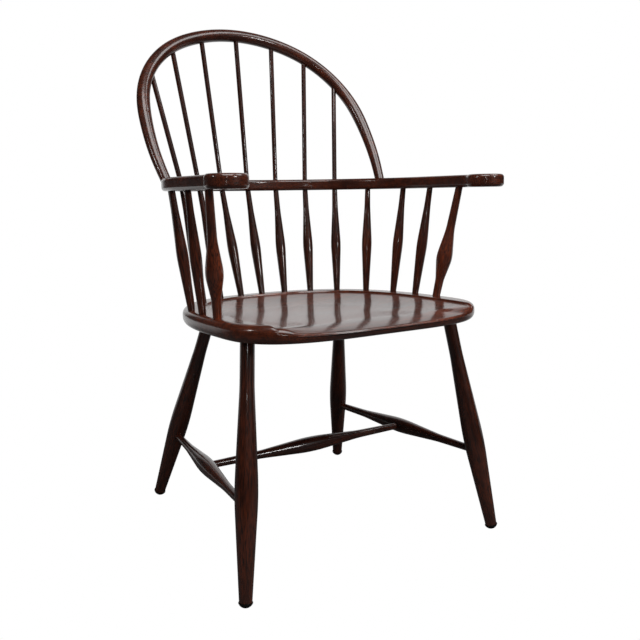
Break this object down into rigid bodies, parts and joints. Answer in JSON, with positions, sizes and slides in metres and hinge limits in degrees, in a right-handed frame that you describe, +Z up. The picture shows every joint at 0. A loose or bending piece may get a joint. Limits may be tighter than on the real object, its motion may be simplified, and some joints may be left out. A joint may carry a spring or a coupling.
{
  "type": "sack-back armchair",
  "caption": "All-wood stick armchair with a carved saddle seat, splayed turned legs, a bent arm rail with round hands and a leaning bow filled with long spindles.",
  "frame": {"origin": "on the floor, in the middle of the chair's overall width and depth", "axes": "+Z up, the chair faces -Y, +X to the sitter's left"},
  "size_m": [0.6076, 0.606, 1.0083],
  "materials": {
    "seat_wood": "gloss lacquer over dark red-brown stain",
    "rail_wood": "gloss lacquer over dark red-brown stain",
    "bow_wood": "gloss lacquer over dark red-brown stain",
    "turned_wood": "gloss lacquer over dark red-brown stain",
    "glide_metal": "smooth dark plated or painted dome"
  },
  "bodies": {
    "root": {"seat": "seat_wood", "arm_rail": "rail_wood", "bow": "bow_wood", "long_spindle_centre": "turned_wood", "long_spindle_inner_right": "turned_wood", "long_spindle_inner_left": "turned_wood", "long_spindle_middle_right": "turned_wood", "long_spindle_middle_left": "turned_wood", "long_spindle_outer_right": "turned_wood", "long_spindle_outer_left": "turned_wood", "short_spindle_back_right": "turned_wood", "short_spindle_back_left": "turned_wood", "short_spindle_middle_right": "turned_wood", "short_spindle_middle_left": "turned_wood", "short_spindle_front_right": "turned_wood", "short_spindle_front_left": "turned_wood", "arm_stump_right": "turned_wood", "arm_stump_left": "turned_wood", "leg_front_right": "turned_wood", "glide_front_right": "glide_metal", "leg_front_left": "turned_wood", "glide_front_left": "glide_metal", "leg_back_right": "turned_wood", "glide_back_right": "glide_metal", "leg_back_left": "turned_wood", "glide_back_left": "glide_metal", "side_stretcher_right": "turned_wood", "side_stretcher_left": "turned_wood", "centre_stretcher": "turned_wood"}
  },
  "joints": []
}
